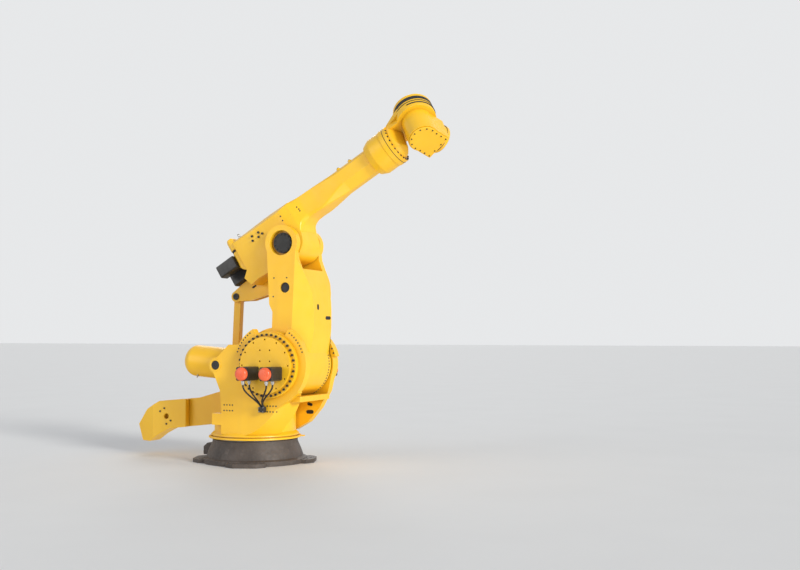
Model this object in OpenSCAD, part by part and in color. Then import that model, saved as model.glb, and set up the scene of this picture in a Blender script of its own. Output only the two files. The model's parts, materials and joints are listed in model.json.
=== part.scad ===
// Six-axis heavy industrial robot arm with a parallel-link forearm drive.
// Origin: centre of the base on the floor. +X is forward, +Z is up, millimetres.

/* [Base] */
// Height of the base casting up to the slewing bearing
base_h = 310; // [260:5:380]
// Radius of the base casting at its top
base_top_r = 570; // [555:5:600]
// Radius of the base casting above its foot flange
base_low_r = 650; // [630:5:670]
// Radius of the foot flange
foot_r = 700; // [690:5:715]
// Thickness of the foot flange
foot_h = 60; // [40:5:80]
// Step down from the foot flange to the top of a corner lug
lug_step = 8; // [4:1:14]
// Radius of the circle that the corner lugs reach
lug_reach = 815; // [800:5:840]
// Width of a corner lug
lug_w = 520; // [480:10:560]
// Angle of the first corner lug from straight ahead
lug_angle = 20; // [0:1:45]
// Diameter of the circle of floor bolts
bolt_pcd = 1500; // [1480:5:1520]
// Diameter of a floor bolt hole
bolt_hole_d = 42; // [30:1:48]
// Diameter of a levelling screw hole
level_hole_d = 26; // [20:1:30]

/* [Turret] */
// Radius of the round lower body of the turret
turret_r = 545; // [535:5:548]
// Radius of the drip lip at the foot of the turret
lip_r = 622; // [610:5:640]
// Thickness of the drip lip
lip_h = 28; // [18:2:40]
// Height above the floor of the deck between the side walls
deck_z = 520; // [500:5:540]
// Height above the floor of the round body's top
body_z = 840; // [820:5:845]
// Height above the floor of the front shelf between the side walls
shelf_z = 905; // [880:5:920]
// Radius of the far side wall about the shoulder axis
far_wall_r = 440; // [430:5:460]
// Height above the floor of the floor of the lever slot
slot_z = 385; // [375:5:400]
// Half width of the turret over its side walls
wall_y = 549; // [540:1:560]
// Thickness of a side wall
wall_t = 119; // [100:1:125]
// Radius of the round flange of a side wall about the shoulder axis
wall_r = 530; // [510:5:545]
// Radius of the bolted drive plate on a side wall
plate_r = 425; // [400:5:440]
// Thickness of the bolted drive plate
plate_t = 69; // [50:1:80]
// Radius of the raised disc on a drive plate
disc_r = 365; // [355:1:370]
// Height of the raised disc on a drive plate
disc_t = 55; // [40:1:70]
// Diameter of the threaded holes in the raised disc
disc_hole_d = 22; // [16:1:28]
// Radius of the saddle of a side wall, where the arm leaves it
saddle_r = 440; // [430:1:445]

/* [Shoulder and elbow axes] */
// Forward distance from the slewing axis to the shoulder axis
shoulder_x = 515; // [500:5:530]
// Height of the shoulder axis
shoulder_z = 1310; // [1300:5:1320]
// Length of the lower arm between the shoulder and elbow axes
arm_l = 1600; // [1580:5:1620]
// Forward lean of the lower arm
arm_lean = 2.6; // [0:0.1:6]
// Upward tilt of the forearm
fore_tilt = 31.5; // [28:0.5:33]

/* [Lower arm] */
// Radius of the hub of the lower arm
hub_r = 450; // [420:5:460]
// Radius of the flange round the hub on its near side
hub_flange_r = 488; // [470:1:490]
// Outer half width of the lower arm and its fork
arm_y = 390; // [380:1:400]
// Half width of the gap in the fork
fork_gap = 290; // [286:1:300]
// Radius of the round end of a fork cheek
cheek_r = 235; // [225:1:245]
// Radius of the round recess in the near cheek
recess_r = 165; // [150:1:175]
// Depth of the recess in the near cheek
recess_depth = 70; // [40:1:80]
// Diameter of the elbow shaft
elbow_pin_d = 200; // [160:2:220]
// Distance up the lower arm of the hole in its near face
plug_a = 1015; // [1000:1:1030]
// Distance of that hole ahead of the arm's axis
plug_b = 88; // [60:1:100]
// Radius of the hole half way up the near face of the lower arm
plug_r = 68; // [50:1:80]

/* [Forearm] */
// Height of the forearm axis above the elbow axis
fore_rise = 310; // [300:5:320]
// Distance along the forearm from the elbow to the wrist joint face
fore_face = 1875; // [1850:5:1900]
// Half width of the forearm tube
tube_half = 160; // [150:1:170]
// Height of the forearm tube above its axis
tube_top = 145; // [135:1:155]
// Depth of the forearm tube below its axis
tube_low = 170; // [160:1:180]
// Chamfer along the upper edges of the forearm tube
top_chamfer = 45; // [30:1:60]
// Chamfer along the lower edges of the forearm tube
low_chamfer = 110; // [90:1:120]
// Half width of the forearm root between the fork cheeks
root_half = 280; // [270:1:284]
// Radius of the wrist joint housing and of the wrist root
wrist_r = 262; // [255:1:270]
// Distance behind the elbow of the rear face of the forearm
rear_d = 805; // [790:5:820]

/* [Parallel link] */
// Distance behind the elbow, along the forearm, of the upper link pin
link_d = 1168; // [1140:2:1180]
// Distance below the elbow, across the forearm, of the upper link pin
link_u = 80; // [60:1:90]
// Diameter of the link pins
link_pin_d = 62; // [50:1:70]
// Depth of the link rod, front to back
rod_depth = 108; // [96:1:116]
// Width of the link rod
rod_w = 90; // [80:1:92]
// Left-hand offset of the link rod's centre
rod_y = 170; // [168:1:172]

/* [Counterweight lever] */
// Near face of the lever
lever_y0 = 330; // [328:1:340]
// Far face of the lever and of the counterweight
lever_y1 = 424; // [420:1:424]
// Near face of the lever's thick tail
tail_y0 = 225; // [222:1:235]
// Far face of the tail and of the counterweight
tail_y1 = 400; // [380:1:410]
// Near face of the counterweight block
weight_y0 = 130; // [110:1:150]
// Radius of the lever hub
lever_hub_r = 415; // [400:1:425]

/* [Balancer] */
// Radius of the balancer cylinder
balancer_r = 213; // [200:1:226]
// Distance behind the slewing axis of the balancer trunnion
trunnion_x = 296; // [290:1:320]
// Height of the balancer trunnion
trunnion_z = 1303; // [1295:1:1310]
// Diameter of the trunnion pin
trunnion_d = 120; // [100:1:124]
// Length of the balancer behind its trunnion
balancer_back = 705; // [680:5:740]
// Length of the balancer ahead of its trunnion
balancer_front = 300; // [260:5:320]
// Upward tilt of the rear of the balancer
balancer_tilt = 5; // [2:0.5:7]
// Left-hand offset of the balancer axis, negative is to the near side
balancer_y = -130; // [-140:1:-128]

/* [Wrist] */
// Distance from the wrist joint face to the wrist bend axis
wrist_l = 415; // [410:1:430]
// Roll of the wrist about the forearm axis
wrist_roll = 60; // [50:1:80]
// Bend of the wrist
wrist_bend = 78; // [70:1:90]
// Outer face of the wrist bend drive along the bend axis
drum_y1 = 365; // [355:1:375]
// Inner face of the wrist bend drive along the bend axis
drum_y0 = 124; // [121:1:130]
// Half width of the tool head
head_half = 200; // [190:1:205]
// Near face of the tool head along the bend axis
head_y0 = -235; // [-245:1:-225]
// Distance from the bend axis to the tool flange face
tool_l = 380; // [370:1:384]
// Radius of the tool flange
tool_r = 190; // [180:1:192]
// Diameter of the circle of tool bolts
tool_pcd = 320; // [300:2:330]
// Diameter of a tool bolt hole
tool_hole_d = 17; // [13:1:22]
// Number of tool bolt holes
tool_holes = 12; // [6:1:12]
// Diameter of the hole through the tool flange
tool_bore_d = 160; // [140:2:170]

/* [Motors] */
// Width across the square body of a drive motor
motor_w = 174; // [150:1:180]
// Length of a shoulder drive motor without its cap
motor_l = 275; // [240:5:300]
// Length of a forearm drive motor
fore_motor_l = 290; // [260:5:320]
// Diameter of a motor cap
cap_d = 168; // [150:1:172]
// Length of a motor cap
cap_l = 62; // [40:1:80]
// Spacing of the two motors on one drive plate
motor_pitch = 337; // [320:1:350]
// Drop of the motors below the shoulder axis
motor_drop = 100; // [80:1:120]
// Diameter of a motor lead
lead_d = 22; // [16:1:26]

/* [Hidden] */
$fn = 96;
// Running gap between a turning piece and its seat
seat_gap = 0.3;
// Room between a turning piece and a wall beside it
side_gap = 6;
// Overlap of shapes that are cut out of each other
cut = 1;
// Segments of a curved stretch in an outline
arc_steps = 10;
// Height of the bearing ring between base and turret
bearing_h = 18;
bearing_r = 540;
bearing_w = 120;
turret_z = base_h + bearing_h + seat_gap;
lip_top = turret_z + lip_h;
// Reach of the shapes that cut the turret
turret_reach = 800;
// Reach of the shapes that cut the lower arm, to the front and to the rear of its axis
arm_deep = 600;
// Far face of the near flange of the lower arm's hub
hub_flange_y = -346;
wall_in = wall_y - wall_t;
elbow_x = shoulder_x + arm_l * sin(arm_lean);
elbow_z = shoulder_z + arm_l * cos(arm_lean);
// Rear face of the forearm root, and the seat of the forearm motors behind it
root_rear = rear_d - 115;
fore_seat = rear_d - 15;
// Half width of the forearm root at its rear, and of the gear housing behind it
rear_half = 210;
gear_half = 205;
// Radius of the forearm root under the elbow shaft
root_r = 250;
// Distance ahead of the elbow where the forearm root starts to narrow to the tube
neck_d = 262;
neck_half = 235;
// Length of the wrist joint housing
housing_l = 340;
fore_cos = cos(fore_tilt);
fore_sin = sin(fore_tilt);
link_x = -link_d * fore_cos + link_u * fore_sin;
link_z = -link_d * fore_sin - link_u * fore_cos;
low_pin_x = shoulder_x + link_x;
low_pin_z = shoulder_z + link_z;
// Radius of the clevis round the upper link pin, and of the eyes of the link rod
link_eye_r = 76;
low_eye_r = 74;
rod_eye_r = 70;
// Faces and places of the shoulder drive motors
motor_seat = -wall_y - plate_t - disc_t;
motor_front = motor_seat - motor_l;
motor_z = shoulder_z - motor_drop;
motor_xs = [shoulder_x - motor_pitch / 2, shoulder_x + motor_pitch / 2];
motor_chamfer = 14;
// Far end of the lower link pin
low_pin_end = tail_y1 - 40;
// Inner end of the trunnion's bore in the balancer
trunnion_end = balancer_y - 60;
// Plane where the lever's tail meets the counterweight, with its upper and lower edge
tail_x = 1200;
tail_top = 802;
tail_low = 408;
// Radius of the sling hole in the counterweight
sling_r = 38;
// Ring of threaded holes in the raised disc, and the square of holes of a spare motor place
disc_hole_r = disc_r - 31;
disc_hole_l = 35;
spare_pitch = 141;
spare_rise = 125;
// Plugs under the near motors and the box that their leads run into
plug_l = 54;
plug_z = motor_z - motor_w / 2 - plug_l;
plug_ys = [motor_seat - 90, motor_front + 25];
box_w = 80;
box_h = 70;
box_x = shoulder_x - 120;
box_y = -wall_y - 70;
box_z = 705;
lead_rings = 16;
yellow = [0.96, 0.74, 0.08];
dark = [0.10, 0.10, 0.11];
iron = [0.22, 0.21, 0.21];
steel = [0.66, 0.67, 0.68];
red = [0.86, 0.26, 0.14];

// Points of an arc from angle a0 to a1 about (cx, cy)
function arc(cx, cy, r, a0, a1, n = arc_steps) =
    [for (i = [0:n]) [cx + r * cos(a0 + (a1 - a0) * i / n), cy + r * sin(a0 + (a1 - a0) * i / n)]];

// A plate with an outline in X and Z, from y0 to y1
module side_plate(y0, y1) {
    translate([0, y1, 0])
        rotate([90, 0, 0])
            linear_extrude(y1 - y0)
                children();
}

// A cylinder along Y at (x, z), from y0 to y1
module y_cyl(x, z, r, y0, y1) {
    translate([x, y1, z])
        rotate([90, 0, 0])
            cylinder(r = r, h = y1 - y0);
}

// A cylinder along X on the X axis, from x0 to x1
module x_cyl(r, x0, x1) {
    translate([x0, 0, 0])
        rotate([0, 90, 0])
            cylinder(r = r, h = x1 - x0);
}

// Frame of the lower arm: X along the arm from the shoulder, Z to its front
module arm_frame() {
    translate([shoulder_x, 0, shoulder_z])
        rotate([0, -90 + arm_lean, 0])
            mirror([0, 0, 1])
                children();
}

// Frame of the forearm: X along the forearm from the elbow, Z above it
module fore_frame() {
    translate([elbow_x, 0, elbow_z])
        rotate([0, -fore_tilt, 0])
            children();
}

// Frame of the rolling wrist: X along the forearm axis from the wrist joint face
module wrist_frame() {
    fore_frame()
        translate([fore_face, 0, fore_rise])
            rotate([wrist_roll, 0, 0])
                children();
}

// Frame of the tool head: X along the tool axis from the wrist bend axis
module head_frame() {
    wrist_frame()
        translate([wrist_l, 0, 0])
            rotate([0, wrist_bend, 0])
                children();
}

module base_casting() {
    color(iron)
    difference() {
        union() {
            rotate_extrude()
                base_profile(0);
            for (k = [0:3])
                rotate([0, 0, lug_angle + 90 * k])
                    base_lug();
        }
        for (k = [0:3])
            rotate([0, 0, lug_angle + 90 * k]) {
                translate([bolt_pcd / 2, 0, -cut])
                    cylinder(d = bolt_hole_d, h = foot_h + 2 * cut);
                for (y = [-lug_w / 3, lug_w / 3])
                    translate([bolt_pcd / 2 - 25, y, -cut])
                        cylinder(d = level_hole_d, h = foot_h + 2 * cut);
            }
    }
}

// Half section of the base, grown sideways by gap
module base_profile(gap) {
    fillet_h = 20;
    waist = 25;
    band_h = 30;
    polygon([[0, 0], [foot_r + gap, 0], [foot_r + gap, foot_h], [base_low_r + gap, foot_h + fillet_h],
             [base_low_r - waist + gap, base_h / 2], [base_top_r + gap, base_h - band_h],
             [base_top_r + gap, base_h], [0, base_h]]);
}

// Lug of the foot that a floor bolt holds
module base_lug() {
    half = lug_w / 2;
    inner = foot_r / 2;
    corner_l = 90;
    corner_w = 110;
    linear_extrude(foot_h - lug_step)
        polygon([[inner, -half], [lug_reach - corner_l, -half], [lug_reach, -half + corner_w],
                 [lug_reach, half - corner_w], [lug_reach - corner_l, half], [inner, half]]);
}

// Box for the plugs of the cables, behind the base
module base_connector() {
    half = 190;
    back = foot_r;
    front = base_top_r - 70;
    low = foot_h + 22;
    top = base_h - 70;
    color(iron)
        difference() {
            side_plate(-half, half)
                polygon([[-front, low], [-back, low], [-back, top - 50], [60 - back, top], [-front, top]]);
            rotate_extrude()
                base_profile(seat_gap);
        }
}

module slew_bearing() {
    color(steel)
        translate([0, 0, base_h])
            difference() {
                cylinder(r = bearing_r, h = bearing_h);
                translate([0, 0, -cut])
                    cylinder(r = bearing_r - bearing_w, h = bearing_h + 2 * cut);
            }
}

// Round body, side walls and shelf of the turret, cast in one piece
module turret_body() {
    slot_y0 = rod_y - rod_w / 2 - 40;
    recess_t = 60;
    groove_r = turret_r + 26;
    bead_r = turret_r + 46;
    deck_front = 200;
    shelf_t = 70;
    slot_front = 320;
    slot_top = 1100;
    stop_angle = 30;
    stop_w = 70;
    near_boss_r = 330;
    far_boss_r = 300;
    color(yellow)
    difference() {
        union() {
            difference() {
                rotate_extrude()
                    polygon(concat([[0, turret_z]],
                                   arc(lip_r - lip_h / 2, turret_z + lip_h / 2, lip_h / 2, -90, 90, 6),
                                   [[groove_r, lip_top], [groove_r, lip_top + 9],
                                    [bead_r, lip_top + 14], [bead_r - 2, lip_top + 26],
                                    [turret_r, lip_top + 66], [turret_r, body_z], [0, body_z]]));
                translate([-turret_reach, -turret_reach, deck_z])
                    cube([turret_reach - deck_front, 2 * turret_reach, body_z]);
            }
            translate([deck_front, -wall_in - cut, shelf_z - shelf_t])
                cube([700, 2 * (wall_in + cut), shelf_t]);
            intersection() {
                rotate_extrude()
                    polygon([[0, 400], [575, 400], [625, 450], [705, 550], [760, 625], [810, 710],
                             [850, 800], [875, 900], [880, 960], [0, 960]]);
                translate([0, -wall_y, 0])
                    cube([1000, wall_y - 270, 2000]);
            }
            near_wall();
            far_wall();
            rotate([0, 0, stop_angle])
                translate([lip_r - 20, -stop_w / 2, turret_z])
                    cube([65, stop_w, lip_h / 2]);
        }
        y_cyl(shoulder_x, shoulder_z, hub_flange_r + side_gap, -wall_in, hub_flange_y + side_gap);
        side_plate(slot_y0, wall_in)
            polygon([[-turret_reach, slot_z], [-60, slot_z], [-60, slot_z + 175], [slot_front, body_z + 20],
                     [slot_front, slot_top], [-turret_reach, slot_top]]);
        y_cyl(shoulder_x, shoulder_z, hub_r + side_gap, -wall_in, wall_in);
        difference() {
            y_cyl(shoulder_x, shoulder_z, far_wall_r - 22, wall_in - cut, wall_in + recess_t);
            y_cyl(shoulder_x, shoulder_z, far_boss_r, wall_in - 2 * cut, wall_in + recess_t + cut);
        }
        y_cyl(-trunnion_x, trunnion_z, trunnion_d / 2 + seat_gap, -wall_y - cut, -wall_in + cut);
    }
    color(yellow) {
        y_cyl(shoulder_x, shoulder_z, near_boss_r, -wall_in - cut, -wall_in + side_gap - seat_gap);
        y_cyl(shoulder_x, shoulder_z, far_boss_r, lever_y1 + seat_gap, wall_in + cut);
    }
}

module near_wall() {
    side_plate(-wall_y, -wall_in) {
        polygon([[0, 400], [150, 420], [380, 540], [590, 720], [930, 960], [700, 1500], [56, 1574],
                 [-97, 1574], [-290, 1390], [-330, 1215], [-225, 976], [-200, 720], [-200, 400]]);
        translate([shoulder_x, shoulder_z])
            circle(r = saddle_r);
        polygon(concat(arc(shoulder_x, shoulder_z, wall_r, -75, 60, 18), [[shoulder_x, shoulder_z]]));
        polygon(concat(arc(shoulder_x, shoulder_z, wall_r, 118, 200), [[shoulder_x, shoulder_z]]));
        translate([-trunnion_x, trunnion_z])
            circle(r = 100);
        translate([-340, deck_z])
            square([160, 150]);
    }
}

module far_wall() {
    side_plate(wall_in, wall_y) {
        polygon([[-150, 400], [380, 400], [582, 513], [754, 711], [882, 944], [930, 1160], [700, 1500],
                 [56, 1574], [-60, 1500], [-150, 1000]]);
        translate([shoulder_x, shoulder_z])
            circle(r = far_wall_r);
        polygon(concat(arc(shoulder_x, shoulder_z, far_wall_r + 45, 12, 110),
                       arc(shoulder_x, shoulder_z, far_wall_r - 20, 110, 12)));
    }
}

// Flange and raised disc that close a side wall, with the threaded holes of the disc
module drive_plate() {
    difference() {
        union() {
            y_cyl(shoulder_x, shoulder_z, plate_r, -wall_y - plate_t, -wall_y);
            y_cyl(shoulder_x, shoulder_z, disc_r, motor_seat, -wall_y - cut);
        }
        for (k = [0:11])
            disc_hole(disc_hole_r * cos(30 * k), disc_hole_r * sin(30 * k));
        for (x = [-0.5, 0.5], z = [-0.5, 0.5])
            disc_hole(x * spare_pitch, spare_rise + z * spare_pitch);
    }
}

module disc_hole(x, z) {
    y_cyl(shoulder_x + x, shoulder_z + z, disc_hole_d / 2, motor_seat - cut, motor_seat + disc_hole_l);
}

module near_drive_plate() {
    color(yellow) drive_plate();
}

module far_drive_plate() {
    color(yellow) mirror([0, 1, 0]) drive_plate();
}

// Square motor frame with chamfered corners, in X and Z about its axis
module motor_section() {
    h = motor_w / 2;
    e = h - motor_chamfer;
    polygon([[h, -e], [h, e], [e, h], [-e, h], [-h, e], [-h, -e], [-e, -h], [e, -h]]);
}

module drive_motors() {
    for (x = motor_xs)
        side_plate(motor_front, motor_seat)
            translate([x, motor_z])
                motor_section();
}

// Moulded caps with a domed end
module drive_motor_caps() {
    rim = cap_l / 3;
    dome = cap_l - rim;
    for (x = motor_xs)
        translate([x, motor_front, motor_z])
            rotate([90, 0, 0])
                rotate_extrude()
                    polygon(concat([[0, 0], [cap_d / 2, 0]],
                                   [for (t = [0:10:70])
                                       [cap_d / 2 - dome * (1 - cos(t)), rim + dome * sin(t)]],
                                   [[0, cap_l]]));
}

module near_motors() {
    color(dark) drive_motors();
}

module near_motor_caps() {
    color(red) drive_motor_caps();
}

module far_motors() {
    color(dark) mirror([0, 1, 0]) drive_motors();
}

module far_motor_caps() {
    color(red) mirror([0, 1, 0]) drive_motor_caps();
}

// Plugs under the near motors: one at the motor's foot and one at its end
module motor_plugs() {
    color(steel)
        for (x = motor_xs, y = plug_ys)
            translate([x, y, plug_z]) {
                translate([0, 0, plug_l / 3])
                    cylinder(d = lead_d + 26, h = plug_l * 2 / 3);
                cylinder(d = lead_d + 12, h = plug_l / 2);
            }
}

// Leads from the plugs down into the connector box
module motor_leads() {
    color(dark)
        for (i = [0, 1], j = [0, 1])
            lead([for (t = [0:lead_rings]) bend(lead_route(i, j), t / lead_rings)]);
}

// Corner points of the lead from motor i, plug j: plug, below the plug, above the box, box
function lead_route(i, j) =
    [[motor_xs[i], plug_ys[j], plug_z],
     [motor_xs[i], plug_ys[j], plug_z - 115],
     [box_x + 20 + 15 * (2 * i + j), box_y - 50 - 45 * j, box_z + box_h + 110],
     [box_x + 16 + 16 * (2 * i + j), box_y + 48 - 30 * j, box_z + box_h]];

// Point of a cubic bend through four corner points
function bend(p, t) =
    p[0] * pow(1 - t, 3) + p[1] * 3 * t * pow(1 - t, 2) + p[2] * 3 * t * t * (1 - t) + p[3] * pow(t, 3);

// Round tube along a row of points that starts and ends straight down
module lead(path) {
    n = len(path) - 1;
    sides = 8;
    rings = [for (i = [0:n])
        let (d = i == 0 || i == n ? [0, 0, -1] : path[i + 1] - path[i - 1],
             along = d / norm(d),
             side = cross([0, 1, 0], along) / norm(cross([0, 1, 0], along)),
             front = cross(along, side))
        for (k = [0:sides - 1])
            path[i] + lead_d / 2 * (side * cos(360 * k / sides) + front * sin(360 * k / sides))];
    skin = [for (i = [0:n - 1], k = [0:sides - 1])
        [i * sides + k, i * sides + (k + 1) % sides, (i + 1) * sides + (k + 1) % sides,
         (i + 1) * sides + k]];
    polyhedron(rings, concat([[for (k = [sides - 1:-1:0]) k]], skin,
                             [[for (k = [0:sides - 1]) n * sides + k]]));
}

module connector_box() {
    color(dark)
        translate([box_x, box_y, box_z])
            cube([box_w, -wall_y - box_y, box_h]);
}

module balancer_cylinder() {
    dome = 170;
    boss_y = wall_in - side_gap;
    trunnion_boss_r = 105;
    color(yellow)
    difference() {
        union() {
            translate([-trunnion_x, balancer_y, trunnion_z])
                rotate([0, balancer_tilt, 0])
                    rotate([0, -90, 0])
                        rotate_extrude()
                            polygon(concat([[0, -balancer_front], [balancer_r - 30, -balancer_front],
                                            [balancer_r, -balancer_front + 30]],
                                           [for (t = [0:9:81]) [balancer_r * cos(t),
                                                balancer_back - dome + dome * sin(t)]],
                                           [[0, balancer_back]]));
            y_cyl(-trunnion_x, trunnion_z, trunnion_boss_r, -boss_y, balancer_y);
        }
        y_cyl(-trunnion_x, trunnion_z, trunnion_d / 2 + seat_gap, -wall_y, trunnion_end);
    }
}

module balancer_trunnion() {
    color(dark)
        y_cyl(-trunnion_x, trunnion_z, trunnion_d / 2, -wall_y + 12, trunnion_end - 2);
}

// Outline of the lower arm seen from the side, along the arm and to its front
module arm_outline(a0, a1) {
    intersection() {
        polygon(concat([[0, -300], [300, -130], [464, -76], [691, -80], [788, -133]],
                       [for (p = [[342, -182], [157, -200], [0, -210], [0, 200], [184, 225], [300, 275],
                                  [405, 325], [515, 370], [625, 402], [750, 422], [875, 433],
                                  [1110, 443], [1350, 425]]) [arm_l - p[0], p[1]]],
                       [[0, 400]]));
        translate([a0, -arm_deep])
            square([a1 - a0, 2 * arm_deep]);
    }
}

module lower_arm() {
    body_y1 = lever_y0 - side_gap - 4;
    gap_a = arm_l - 330;
    near_edge = 215;
    near_chamfer = 210;
    far_chamfer = 90;
    root_swing = 540;
    pocket_a = 720;
    pocket_front = 100;
    fork_a = 900;
    flare_a = fork_a + 220;
    end_a = arm_l + 2 * cheek_r;
    color(yellow)
    difference() {
        union() {
            y_cyl(shoulder_x, shoulder_z, hub_r, -wall_in + side_gap, body_y1);
            y_cyl(shoulder_x, shoulder_z, hub_flange_r, -arm_y + 2, hub_flange_y);
            intersection() {
                arm_frame() {
                    side_plate(-arm_y, body_y1)
                        arm_outline(0, fork_a + 350);
                    intersection() {
                        side_plate(-arm_y, arm_y)
                            arm_outline(fork_a, arm_l);
                        translate([0, 0, -arm_deep])
                            linear_extrude(2 * arm_deep)
                                polygon([[fork_a, -arm_y], [arm_l, -arm_y], [arm_l, arm_y],
                                         [flare_a, arm_y], [fork_a, body_y1 - cut]]);
                    }
                }
                arm_frame()
                    rotate([90, 0, 90])
                        linear_extrude(arm_l + cheek_r)
                            polygon([[-arm_y, -arm_deep], [arm_y, -arm_deep], [arm_y, near_edge + 150],
                                     [arm_y - far_chamfer, 460], [-arm_y + near_chamfer, 460],
                                     [-arm_y, near_edge]]);
            }
            arm_frame()
                y_cyl(arm_l, 0, cheek_r, -arm_y, arm_y);
        }
        arm_frame() {
            translate([gap_a, -fork_gap, -arm_deep])
                cube([end_a - gap_a, 2 * fork_gap, 2 * arm_deep]);
            translate([pocket_a, -fork_gap, -arm_deep])
                cube([end_a - pocket_a, fork_gap + 264, arm_deep + pocket_front]);
            translate([arm_l - root_swing, -fork_gap, -arm_deep])
                cube([end_a - arm_l + root_swing, 2 * fork_gap, arm_deep + pocket_front]);
            y_cyl(arm_l, 0, recess_r, -arm_y - cut, -arm_y + recess_depth);
            y_cyl(arm_l, 0, elbow_pin_d / 2 + seat_gap, -arm_y - cut, arm_y - 40);
            y_cyl(plug_a, plug_b, plug_r + seat_gap, -arm_y - cut, -arm_y + 80);
        }
    }
}

module arm_plug() {
    color(dark)
        arm_frame()
            y_cyl(plug_a, plug_b, plug_r, -arm_y + 20, -arm_y + 80);
}

module elbow_cap() {
    color(dark)
        arm_frame()
            y_cyl(arm_l, 0, recess_r - 30, -arm_y + recess_depth - 30, -arm_y + recess_depth);
}

module elbow_shaft() {
    color(steel)
        arm_frame()
            y_cyl(arm_l, 0, elbow_pin_d / 2, -arm_y + recess_depth + seat_gap, arm_y - 40 - seat_gap);
}

// Forearm casting: root on the elbow shaft, then the chamfered tube
module forearm() {
    top = fore_rise + tube_top;
    low = fore_rise - tube_low;
    tube_end = fore_face - housing_l;
    neck_end = 640;
    tube_start = neck_end - 80;
    color(yellow)
    difference() {
        union() {
            fore_frame()
                intersection() {
                    side_plate(-root_half, root_half)
                        root_outline();
                    linear_extrude(1400, center = true)
                        polygon([[5 - rear_d, -rear_half], [455 - rear_d, -root_half],
                                 [neck_d - 132, -root_half], [neck_d, -neck_half], [neck_d, neck_half],
                                 [neck_d - 132, root_half], [455 - rear_d, root_half],
                                 [5 - rear_d, rear_half]]);
                    fore_section([[-root_half, -500], [root_half, -500], [root_half, 420], [150, 510],
                                  [-150, 510], [-root_half, 420]]);
                }
            fore_frame()
                intersection() {
                    side_plate(-root_half, root_half)
                        polygon([[neck_d - cut, 472], [450, top], [neck_end, top], [neck_end, low],
                                 [neck_end - 120, low + 6], [400, low], [320, 100], [neck_d - cut, 30]]);
                    linear_extrude(1400, center = true)
                        polygon([[neck_d - cut, -neck_half], [340, 30 - neck_half],
                                 [430, -tube_half - 18], [neck_end, -tube_half], [neck_end, tube_half],
                                 [430, tube_half + 18], [340, neck_half - 30], [neck_d - cut, neck_half]]);
                    fore_section([[-root_half, top - 90], [-root_half, 330], [-50, -10], [50, -10],
                                  [root_half, 330], [root_half, top - 90], [110, 520], [-110, 520]]);
                }
            fore_frame()
                translate([tube_start, 0, fore_rise])
                    rotate([90, 0, 90])
                        linear_extrude(tube_end - tube_start)
                            tube_section();
        }
        fore_frame()
            y_cyl(0, 0, elbow_pin_d / 2 + seat_gap, -root_half - cut, root_half + cut);
    }
}

// Outline of the forearm root seen from the side, along the forearm and above the elbow
module root_outline() {
    polygon(concat([[-root_rear, 478], [335 - rear_d, 482], [-200, 492], [-30, 495], [neck_d, 472],
                    [neck_d, 30]],
                   arc(0, 0, root_r, -10, -110),
                   [[475 - rear_d, -200], [205 - rear_d, -165], [68 - rear_d, -173],
                    [21 - rear_d, -39], [-root_rear, 30]]));
}

// A bar along the forearm with a section in Y and Z
module fore_section(points) {
    translate([-rear_d - 95, 0, 0])
        rotate([90, 0, 90])
            linear_extrude(rear_d + 895)
                polygon(points);
}

// Eight-sided section of the forearm tube
module tube_section() {
    h = tube_half;
    polygon([[h, low_chamfer - tube_low], [h, tube_top - top_chamfer], [h - top_chamfer, tube_top],
             [top_chamfer - h, tube_top], [-h, tube_top - top_chamfer], [-h, low_chamfer - tube_low],
             [low_chamfer - h, -tube_low], [h - low_chamfer, -tube_low]]);
}

module wrist_housing() {
    x0 = fore_face - housing_l;
    color(yellow)
        fore_frame()
            translate([0, 0, fore_rise])
                rotate([0, 90, 0])
                    rotate_extrude()
                        polygon([[0, x0], [wrist_r - 50, x0], [wrist_r - 8, x0 + 90],
                                 [wrist_r - 8, fore_face - 70], [wrist_r, fore_face - 66],
                                 [wrist_r, fore_face], [0, fore_face]]);
}

// Gear housing behind the forearm root: two lobes with a slot between them
module rear_housing() {
    color(yellow)
        fore_frame()
            intersection() {
                union() {
                    side_plate(10, gear_half)
                        translate([-fore_seat, 30])
                            square([fore_seat - root_rear, 200]);
                    side_plate(-gear_half, gear_half)
                        housing_outline();
                }
                translate([0, 0, -500])
                    linear_extrude(1200)
                        polygon([[-rear_d - 95, 55 - gear_half], [-rear_d, 55 - gear_half],
                                 [50 - rear_d, -gear_half], [-root_rear, -gear_half],
                                 [-root_rear, gear_half], [50 - rear_d, gear_half],
                                 [-rear_d, gear_half - 55], [-rear_d - 95, gear_half - 55]]);
            }
}

module housing_outline() {
    difference() {
        union() {
            polygon([[-root_rear, 30], [65 - rear_d, 75], [-fore_seat, 140], [-fore_seat, 380],
                     [-root_rear, 380]]);
            polygon([[-root_rear, 370], [-rear_d, 370], [-rear_d, 530], [-rear_d + 20, 548],
                     [-root_rear, 548]]);
        }
        translate([-rear_d - cut, 349])
            square([95, 34]);
    }
}

module forearm_motors() {
    color(dark)
        fore_frame() {
            for (place = [[-150, 235], [110, 118]])
                translate([-fore_seat - seat_gap - fore_motor_l, place[0], place[1]])
                    rotate([90, 0, 90])
                        linear_extrude(fore_motor_l)
                            motor_section();
        }
}

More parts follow.
